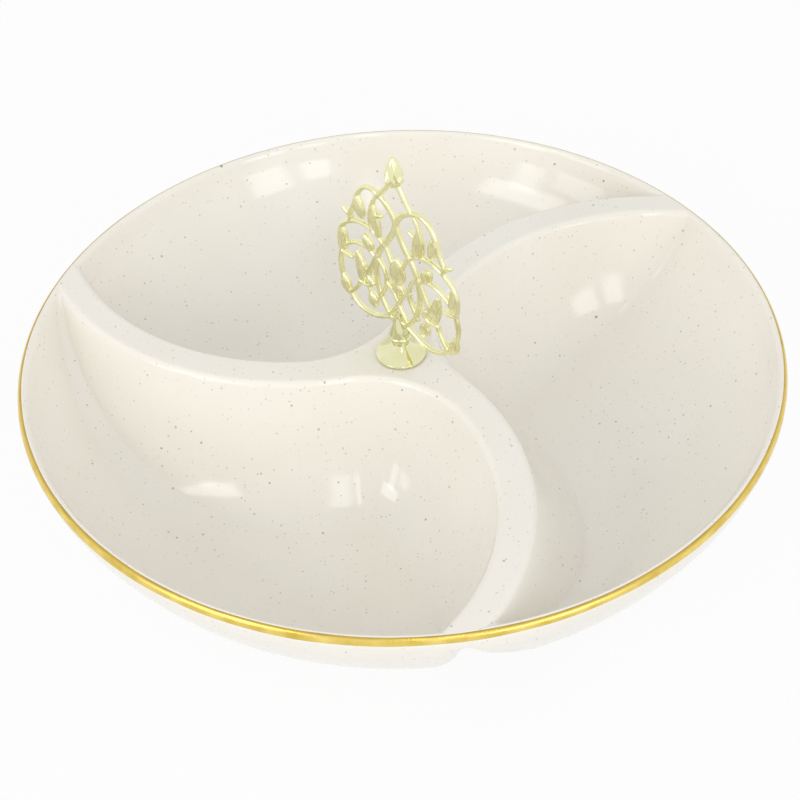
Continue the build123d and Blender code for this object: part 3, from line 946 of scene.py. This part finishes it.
def mix_colour(nodes, links, factor, first, second):
    """A mix of two colours, each a colour or another node's output."""
    node = nodes.new("ShaderNodeMix")
    node.data_type = "RGBA"
    links.new(factor, node.inputs[0])
    for socket, colour in ((node.inputs[6], first), (node.inputs[7], second)):
        if isinstance(colour, tuple):
            socket.default_value = (*colour, 1)
        else:
            links.new(colour, socket)
    return node.outputs[2]


def combine(nodes, links, operation, first, second):
    """Two values put together by an operation, each a number or another node's output."""
    node = nodes.new("ShaderNodeMath")
    node.operation = operation
    for socket, value in zip(node.inputs, (first, second)):
        if isinstance(value, (int, float)):
            socket.default_value = value
        else:
            links.new(value, socket)
    return node.outputs[0]


def bump(nodes, links, shader, value, strength, distance):
    """Fine relief from a value."""
    node = nodes.new("ShaderNodeBump")
    node.inputs["Strength"].default_value = strength
    node.inputs["Distance"].default_value = distance
    links.new(value, node.inputs["Height"])
    links.new(node.outputs["Normal"], shader.inputs["Normal"])


def speckles(nodes, links, place, scale, share, most):
    """Small spots of different sizes in a share of the cells, from 0 to 1, and a shade for each."""
    cells = nodes.new("ShaderNodeTexVoronoi")
    cells.inputs["Scale"].default_value = scale
    links.new(place, cells.inputs["Vector"])
    split = nodes.new("ShaderNodeSeparateColor")
    links.new(cells.outputs["Color"], split.inputs["Color"])
    size = ramp(nodes, links, split.outputs["Red"], 1 - share, 1.0, 0.0, most)
    edge = combine(nodes, links, "SUBTRACT", size, cells.outputs["Distance"])
    spot = ramp(nodes, links, edge, 0.0, most * 0.35)
    return spot, split.outputs["Green"]


def glaze_material():
    """Cream glaze with fine dark speckles, a little uneven in colour and gloss."""
    material, nodes, links, shader = new_material("cream_glaze")
    place = object_place(nodes)
    clouds = noise(nodes, links, place, 22.0)
    tone = spread(nodes, links, clouds)
    colour = mix_colour(nodes, links, tone, *GLAZE_TONES)
    for scale, share, most, faint, strong in GLAZE_SPECKLES:
        spots, shade = speckles(nodes, links, place, scale, share, most)
        cover = combine(nodes, links, "MULTIPLY", spots, ramp(nodes, links, shade, 0.0, 1.0, faint, strong))
        dark = mix_colour(nodes, links, shade, SPECKLE_BROWN, SPECKLE_GREY)
        colour = mix_colour(nodes, links, cover, colour, dark)
    links.new(colour, shader.inputs["Base Color"])
    waves = noise(nodes, links, place, 60.0)
    links.new(spread(nodes, links, waves, 0.07, 0.12), shader.inputs["Roughness"])
    shader.inputs["IOR"].default_value = 1.5
    swell = noise(nodes, links, place, 90.0, 2.0)
    bump(nodes, links, shader, swell, 0.06, 0.0006)
    return material


def gilding_material():
    """Bright gold, fired on and a little worn and streaky."""
    material, nodes, links, shader = new_material("fired_gold")
    place = object_place(nodes)
    streaks = noise(nodes, links, place, 140.0, 4.0)
    tone = spread(nodes, links, streaks)
    colour = mix_colour(nodes, links, tone, *GILDING_TONES)
    # The colour darkens towards the line's upper edge, at a height made uneven by the streaks.
    split = nodes.new("ShaderNodeSeparateXYZ")
    links.new(place, split.inputs["Vector"])
    edge_jitter = spread(nodes, links, streaks, 0.0, 0.0006)
    height = combine(nodes, links, "ADD", split.outputs["Z"], edge_jitter)
    edge = ramp(nodes, links, height, GOLD_DARK_FROM * MM, GOLD_DARK_TO * MM, 0.0, GOLD_DARK_SHARE)
    links.new(mix_colour(nodes, links, edge, colour, GILDING_EDGE), shader.inputs["Base Color"])
    links.new(spread(nodes, links, streaks, 0.2, 0.34), shader.inputs["Roughness"])
    shader.inputs["Metallic"].default_value = 1.0
    bump(nodes, links, shader, noise(nodes, links, place, 700.0), 0.15, 0.0002)
    return material


def two_tone_material(name, tones, scale, smooth, rough, metal, relief, grain, detail):
    """Two tones in clouds, uneven gloss and a fine grain."""
    material, nodes, links, shader = new_material(name)
    place = object_place(nodes)
    clouds = noise(nodes, links, place, scale, 4.0)
    tone = spread(nodes, links, clouds)
    links.new(mix_colour(nodes, links, tone, *tones), shader.inputs["Base Color"])
    links.new(spread(nodes, links, clouds, smooth, rough), shader.inputs["Roughness"])
    shader.inputs["Metallic"].default_value = metal
    bump(nodes, links, shader, noise(nodes, links, place, grain, detail), relief, 0.0002)
    return material


def gold_material(name, tones, smooth, rough, relief):
    """Pale gold plating over brass."""
    return two_tone_material(name, tones, 160.0, smooth, rough, 1.0, relief, 1500.0, 4.0)


def plain_material(name, tones, scale, smooth, rough, metal, relief):
    """A small hidden fitting."""
    return two_tone_material(name, tones, scale, smooth, rough, metal, relief, scale * 4, 3.0)


def dress(thing, material):
    """Gives an object one material."""
    thing.data.materials.clear()
    thing.data.materials.append(material)


# Stage


def background_rays(nodes, links):
    """1 for the rays that should see the white background, 0 for those that light the object."""
    path = nodes.new("ShaderNodeLightPath")
    seen = combine(nodes, links, "MAXIMUM", path.outputs["Is Camera Ray"], path.outputs["Is Glossy Ray"])
    return combine(nodes, links, "MAXIMUM", seen, path.outputs["Is Transmission Ray"])


def make_floor():
    """A plain white floor that keeps a soft shadow."""
    maker = MeshMaker()
    corners = maker.ring((a * FLOOR_REACH, b * FLOOR_REACH, 0) for a, b in CORNERS)
    maker.faces.append(tuple(corners))
    floor = maker.object("floor")
    material, nodes, links, shader = new_material("floor_white")
    place = object_place(nodes)
    grain = noise(nodes, links, place, 6.0)
    colour = mix_colour(nodes, links, grain, *FLOOR_TONES)
    links.new(colour, shader.inputs["Base Color"])
    shader.inputs["Roughness"].default_value = 1.0
    shader.inputs["Specular IOR Level"].default_value = 0.0
    glow = nodes.new("ShaderNodeEmission")
    glow.inputs["Strength"].default_value = 1.0
    glow.inputs["Color"].default_value = (1, 1, 1, 1)
    blend = nodes.new("ShaderNodeMixShader")
    share = combine(nodes, links, "MULTIPLY", background_rays(nodes, links), FLOOR_GLOW)
    links.new(share, blend.inputs[0])
    links.new(shader.outputs["BSDF"], blend.inputs[1])
    links.new(glow.outputs["Emission"], blend.inputs[2])
    links.new(blend.outputs["Shader"], nodes["Material Output"].inputs["Surface"])
    dress(floor, material)


def make_world():
    """White behind everything, and a soft light on the object, stronger from low down than from above."""
    world = bpy.data.worlds.new("studio")
    bpy.context.scene.world = world
    world.use_nodes = True
    nodes = world.node_tree.nodes
    links = world.node_tree.links
    light = nodes["Background"]
    light.inputs["Color"].default_value = (1.0, 1.0, 1.0, 1)
    split = nodes.new("ShaderNodeSeparateXYZ")
    links.new(nodes.new("ShaderNodeTexCoord").outputs["Generated"], split.inputs["Vector"])
    height = ramp(nodes, links, split.outputs["Z"], 0.0, 1.0, LOW_LIGHT, HIGH_LIGHT)
    front = combine(nodes, links, "MULTIPLY", split.outputs["Y"], -FRONT_LIGHT)
    links.new(combine(nodes, links, "ADD", height, front), light.inputs["Strength"])
    white = nodes.new("ShaderNodeBackground")
    white.inputs["Color"].default_value = (1, 1, 1, 1)
    white.inputs["Strength"].default_value = 1.0
    blend = nodes.new("ShaderNodeMixShader")
    links.new(background_rays(nodes, links), blend.inputs[0])
    links.new(light.outputs["Background"], blend.inputs[1])
    links.new(white.outputs["Background"], blend.inputs[2])
    links.new(blend.outputs["Shader"], nodes["World Output"].inputs["Surface"])


def softbox(name, place, width, height, watts):
    """A rectangular studio lamp that faces the bowl."""
    lamp = bpy.data.lights.new(name, "AREA")
    lamp.shape = "RECTANGLE"
    lamp.size = width
    lamp.size_y = height
    lamp.energy = watts
    holder = bpy.data.objects.new(name, lamp)
    bpy.context.scene.collection.objects.link(holder)
    holder.location = place
    toward = Vector(LAMP_TARGET) - Vector(place)
    holder.rotation_mode = "QUATERNION"
    holder.rotation_quaternion = toward.to_track_quat("-Z", "Y")


def make_camera():
    """The photograph's own view."""
    data = bpy.data.cameras.new("photo_view")
    data.lens = CAMERA_LENS
    data.sensor_width = 36.0
    data.clip_end = 50.0
    camera = bpy.data.objects.new("photo_view", data)
    bpy.context.scene.collection.objects.link(camera)
    forward = Vector(CAMERA_FORWARD).normalized()
    right = forward.cross(Vector(CAMERA_UP)).normalized()
    up = right.cross(forward)
    axes = Matrix((right, up, -forward)).transposed().to_4x4()
    camera.matrix_world = Matrix.Translation(Vector(CAMERA_PLACE) * MM) @ axes
    bpy.context.scene.camera = camera


bpy.context.scene.view_settings.view_transform = "Standard"
make_camera()
make_world()
make_floor()
for name, (place, width, height, watts) in LAMPS.items():
    softbox(name, place, width, height, watts)

bowl = make_bowl()
dress(bowl, glaze_material())
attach(bowl, "bowl")
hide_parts("bowl")

gold_line = make_gold_line()
dress(gold_line, gilding_material())
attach(gold_line, "bowl")
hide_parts("rim_gilding")

polished = gold_material("polished_gold", POLISHED_TONES, 0.05, 0.10, 0.02)
cast = gold_material("cast_gold", CAST_TONES, 0.12, 0.22, 0.12)
foot = make_foot()
dress(foot, polished)
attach(foot, "finial")
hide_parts("finial_foot")

spire = make_spire()
dress(spire, polished)
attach(spire, "finial")
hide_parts("finial_spire")

leaf = make_leaf()
dress(leaf, cast)
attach(leaf, "finial")
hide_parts("finial_leaf")

rubber = plain_material("seal_rubber", RUBBER_TONES, 300.0, 0.5, 0.65, 0.0, 0.1)
steel = plain_material("plated_steel", STEEL_TONES, 500.0, 0.25, 0.4, 1.0, 0.08)
for name in ("upper_seal", "lower_seal"):
    dress(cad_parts[name], rubber)
for name in ("steel_washer", "fixing_screw"):
    dress(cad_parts[name], steel)
